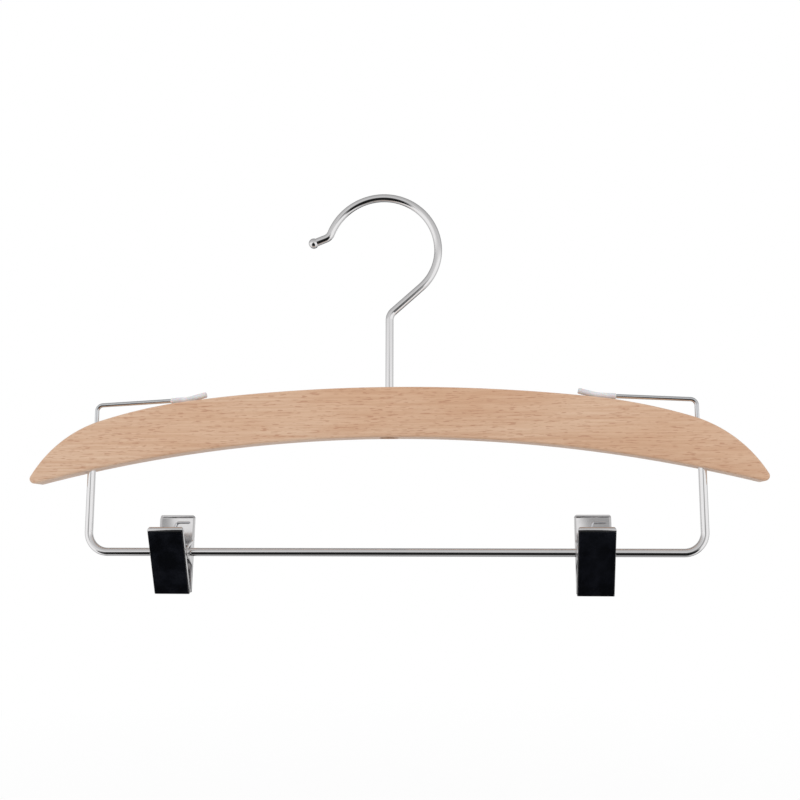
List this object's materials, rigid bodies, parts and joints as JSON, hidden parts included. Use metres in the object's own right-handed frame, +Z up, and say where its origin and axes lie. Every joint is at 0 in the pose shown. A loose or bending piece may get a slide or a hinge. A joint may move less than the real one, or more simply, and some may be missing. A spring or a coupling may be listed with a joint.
{
  "type": "trouser hanger",
  "caption": "Wooden arc hanger with a swivelling wire hook, a wire trouser bar with sliding sprung pinch clips, and spring wires that hold loops against the shoulders.",
  "frame": {"origin": "on the hook's swivel axis, where the inside of the hook sits on a rail", "axes": "+Z up along the hook's stem, X along the hanger, front faces -Y"},
  "size_m": [0.36, 0.0217, 0.2011],
  "materials": {
    "beech": "fine sanded, clear satin lacquer",
    "chrome": "bright chrome plate on drawn wire",
    "spring_wire": "bright plated spring wire",
    "plated_sheet": "bright plated pressed sheet",
    "steel": "zinc plated",
    "sleeve": "translucent whitish soft plastic",
    "black_cover": "smooth gloss black"
  },
  "bodies": {
    "hook": {"hook": "chrome", "hook_nut": "steel"},
    "hanger": {"wood_body": "beech", "hook_washer": "steel", "trouser_bar": "chrome", "left_loop_wire_root": "spring_wire", "right_loop_wire_root": "spring_wire"},
    "left_loop": {"left_loop_wire": "spring_wire", "left_loop_wire_sleeve": "sleeve"},
    "right_loop": {"right_loop_wire": "spring_wire", "right_loop_wire_sleeve": "sleeve"},
    "left_clip_slider": {"left_clip_spring": "spring_wire"},
    "left_clip_back": {"left_clip_back_jaw": "plated_sheet", "left_clip_back_cover": "black_cover"},
    "left_clip_front": {"left_clip_front_jaw": "plated_sheet", "left_clip_front_cover": "black_cover"},
    "right_clip_slider": {"right_clip_spring": "spring_wire"},
    "right_clip_back": {"right_clip_back_jaw": "plated_sheet", "right_clip_back_cover": "black_cover"},
    "right_clip_front": {"right_clip_front_jaw": "plated_sheet", "right_clip_front_cover": "black_cover"}
  },
  "joints": [
    {"name": "hook_swivel", "type": "hinge", "parent": "hook", "child": "hanger", "pos_m": [0, 0, -0.09593], "axis": [0, 0, 1], "continuous": true},
    {"name": "left_loop_flex", "type": "hinge", "parent": "hanger", "child": "left_loop", "pos_m": [-0.1487, 0, -0.1117], "axis": [0, -1, 0], "range_deg": [0, 6], "stiffness_Nm_per_rad": 6.6},
    {"name": "right_loop_flex", "type": "hinge", "parent": "hanger", "child": "right_loop", "pos_m": [0.1487, 0, -0.1117], "axis": [0, 1, 0], "range_deg": [0, 6], "stiffness_Nm_per_rad": 6.6},
    {"name": "left_clip_slide", "type": "slide", "parent": "hanger", "child": "left_clip_slider", "axis": [1, 0, 0], "range_m": [-0.022, 0.095]},
    {"name": "left_clip_turn", "type": "hinge", "parent": "left_clip_slider", "child": "left_clip_back", "pos_m": [-0.1074, 0, -0.17623], "axis": [1, 0, 0], "continuous": true},
    {"name": "left_clip_jaw", "type": "hinge", "parent": "left_clip_back", "child": "left_clip_front", "pos_m": [-0.1074, 0, -0.17623], "axis": [-1, 0, 0], "range_deg": [0, 28], "stiffness_Nm_per_rad": 0.1, "springref_deg": -57.3, "deforming": ["left_clip_spring"]},
    {"name": "right_clip_slide", "type": "slide", "parent": "hanger", "child": "right_clip_slider", "axis": [1, 0, 0], "range_m": [-0.086, 0.031]},
    {"name": "right_clip_turn", "type": "hinge", "parent": "right_clip_slider", "child": "right_clip_back", "pos_m": [0.0986, 0, -0.17623], "axis": [1, 0, 0], "continuous": true},
    {"name": "right_clip_jaw", "type": "hinge", "parent": "right_clip_back", "child": "right_clip_front", "pos_m": [0.0986, 0, -0.17623], "axis": [-1, 0, 0], "range_deg": [0, 28], "stiffness_Nm_per_rad": 0.1, "springref_deg": -57.3, "deforming": ["right_clip_spring"]}
  ]
}
